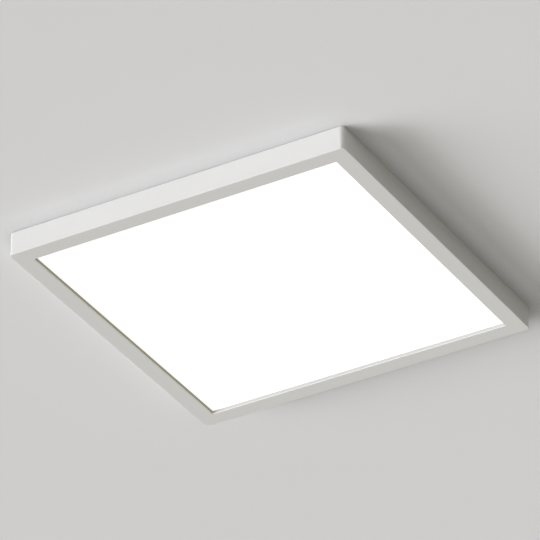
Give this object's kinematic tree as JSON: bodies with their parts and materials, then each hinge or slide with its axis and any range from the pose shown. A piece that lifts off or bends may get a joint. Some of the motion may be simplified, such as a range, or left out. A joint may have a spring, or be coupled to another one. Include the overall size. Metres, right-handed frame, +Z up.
{
  "type": "led ceiling light",
  "caption": "Square surface-mounted ceiling light: white frame with a flat rim, recessed glowing panel, and a ceiling bracket with spring clips.",
  "frame": {"origin": "middle of the bracket's face on the ceiling", "axes": "+Z up into the ceiling, X along the bracket's strap and Y across it, both along the frame's sides"},
  "size_m": [0.3, 0.3, 0.021],
  "materials": {
    "frame_white": "satin",
    "diffuser_opal": "satin",
    "guide_clear": "polished",
    "reflector_white": "matte",
    "foam_grey": "matte",
    "zinc_steel": "satin",
    "spring_steel": "satin",
    "fastener_steel": "polished",
    "bushing_rubber": "matte",
    "tape_grey": "matte",
    "board_white": "satin",
    "chip_phosphor": "satin",
    "driver_white": "satin",
    "circuit_green": "satin",
    "ferrite_grey": "matte",
    "winding_tape": "gloss",
    "can_sleeve": "gloss",
    "package_black": "matte",
    "fuse_body": "satin",
    "terminal_grey": "satin",
    "button_orange": "satin",
    "contact_brass": "satin",
    "lead_brown": "satin",
    "lead_blue": "satin",
    "lead_earth": "satin",
    "lead_red": "satin",
    "lead_white": "satin",
    "lead_black": "satin",
    "clip_white": "satin"
  },
  "bodies": {
    "ceiling_mount": {"ceiling_bracket": "zinc_steel", "cable_bushing": "bushing_rubber", "spring_clip_left": "spring_steel", "spring_clip_right": "spring_steel", "clip_rivets": "fastener_steel", "earth_screw": "fastener_steel", "earth_washer": "fastener_steel"},
    "luminaire": {"front_frame": "frame_white", "diffuser_panel": "diffuser_opal", "light_guide": "guide_clear", "reflector_sheet": "reflector_white", "backing_pad": "foam_grey", "thermal_tape_left": "tape_grey", "thermal_tape_right": "tape_grey", "led_board_left": "board_white", "led_board_right": "board_white", "led_chips_left": "chip_phosphor", "led_chips_right": "chip_phosphor", "back_cover": "zinc_steel", "cover_screws": "fastener_steel", "catch_plate_left": "zinc_steel", "catch_plate_right": "zinc_steel", "catch_rivets": "fastener_steel", "driver_tray": "driver_white", "driver_lid": "driver_white", "driver_board": "circuit_green", "transformer_core": "ferrite_grey", "transformer_winding": "winding_tape", "driver_capacitors": "can_sleeve", "driver_choke": "ferrite_grey", "driver_chips": "package_black", "driver_fuse": "fuse_body", "fitting_screws": "fastener_steel", "terminal_base": "terminal_grey", "terminal_housing": "terminal_grey", "terminal_contacts": "contact_brass", "terminal_springs": "spring_steel", "live_lead": "lead_brown", "neutral_lead": "lead_blue", "earth_lead": "lead_earth", "positive_lead": "lead_red", "link_lead": "lead_white", "negative_lead": "lead_black", "lead_grommets": "bushing_rubber", "wire_clips": "clip_white", "earth_lug": "contact_brass", "lug_screw": "fastener_steel"},
    "release_live": {"button_live": "button_orange"},
    "release_neutral": {"button_neutral": "button_orange"},
    "release_earth": {"button_earth": "button_orange"}
  },
  "joints": [
    {"name": "luminaire_release", "type": "slide", "parent": "ceiling_mount", "child": "luminaire", "axis": [0, 0, -1], "range_m": [0, 0.06], "deforming": ["spring_clip_left", "spring_clip_right"]},
    {"name": "live_release_press", "type": "slide", "parent": "luminaire", "child": "release_live", "axis": [0, 0, -1], "range_m": [0, 0.0015], "stiffness_N_per_m": 1500, "springref_m": -0.0005, "deforming": ["terminal_springs"]},
    {"name": "neutral_release_press", "type": "slide", "parent": "luminaire", "child": "release_neutral", "axis": [0, 0, -1], "range_m": [0, 0.0015], "stiffness_N_per_m": 1500, "springref_m": -0.0005, "deforming": ["terminal_springs"]},
    {"name": "earth_release_press", "type": "slide", "parent": "luminaire", "child": "release_earth", "axis": [0, 0, -1], "range_m": [0, 0.0015], "stiffness_N_per_m": 1500, "springref_m": -0.0005, "deforming": ["terminal_springs"]}
  ]
}
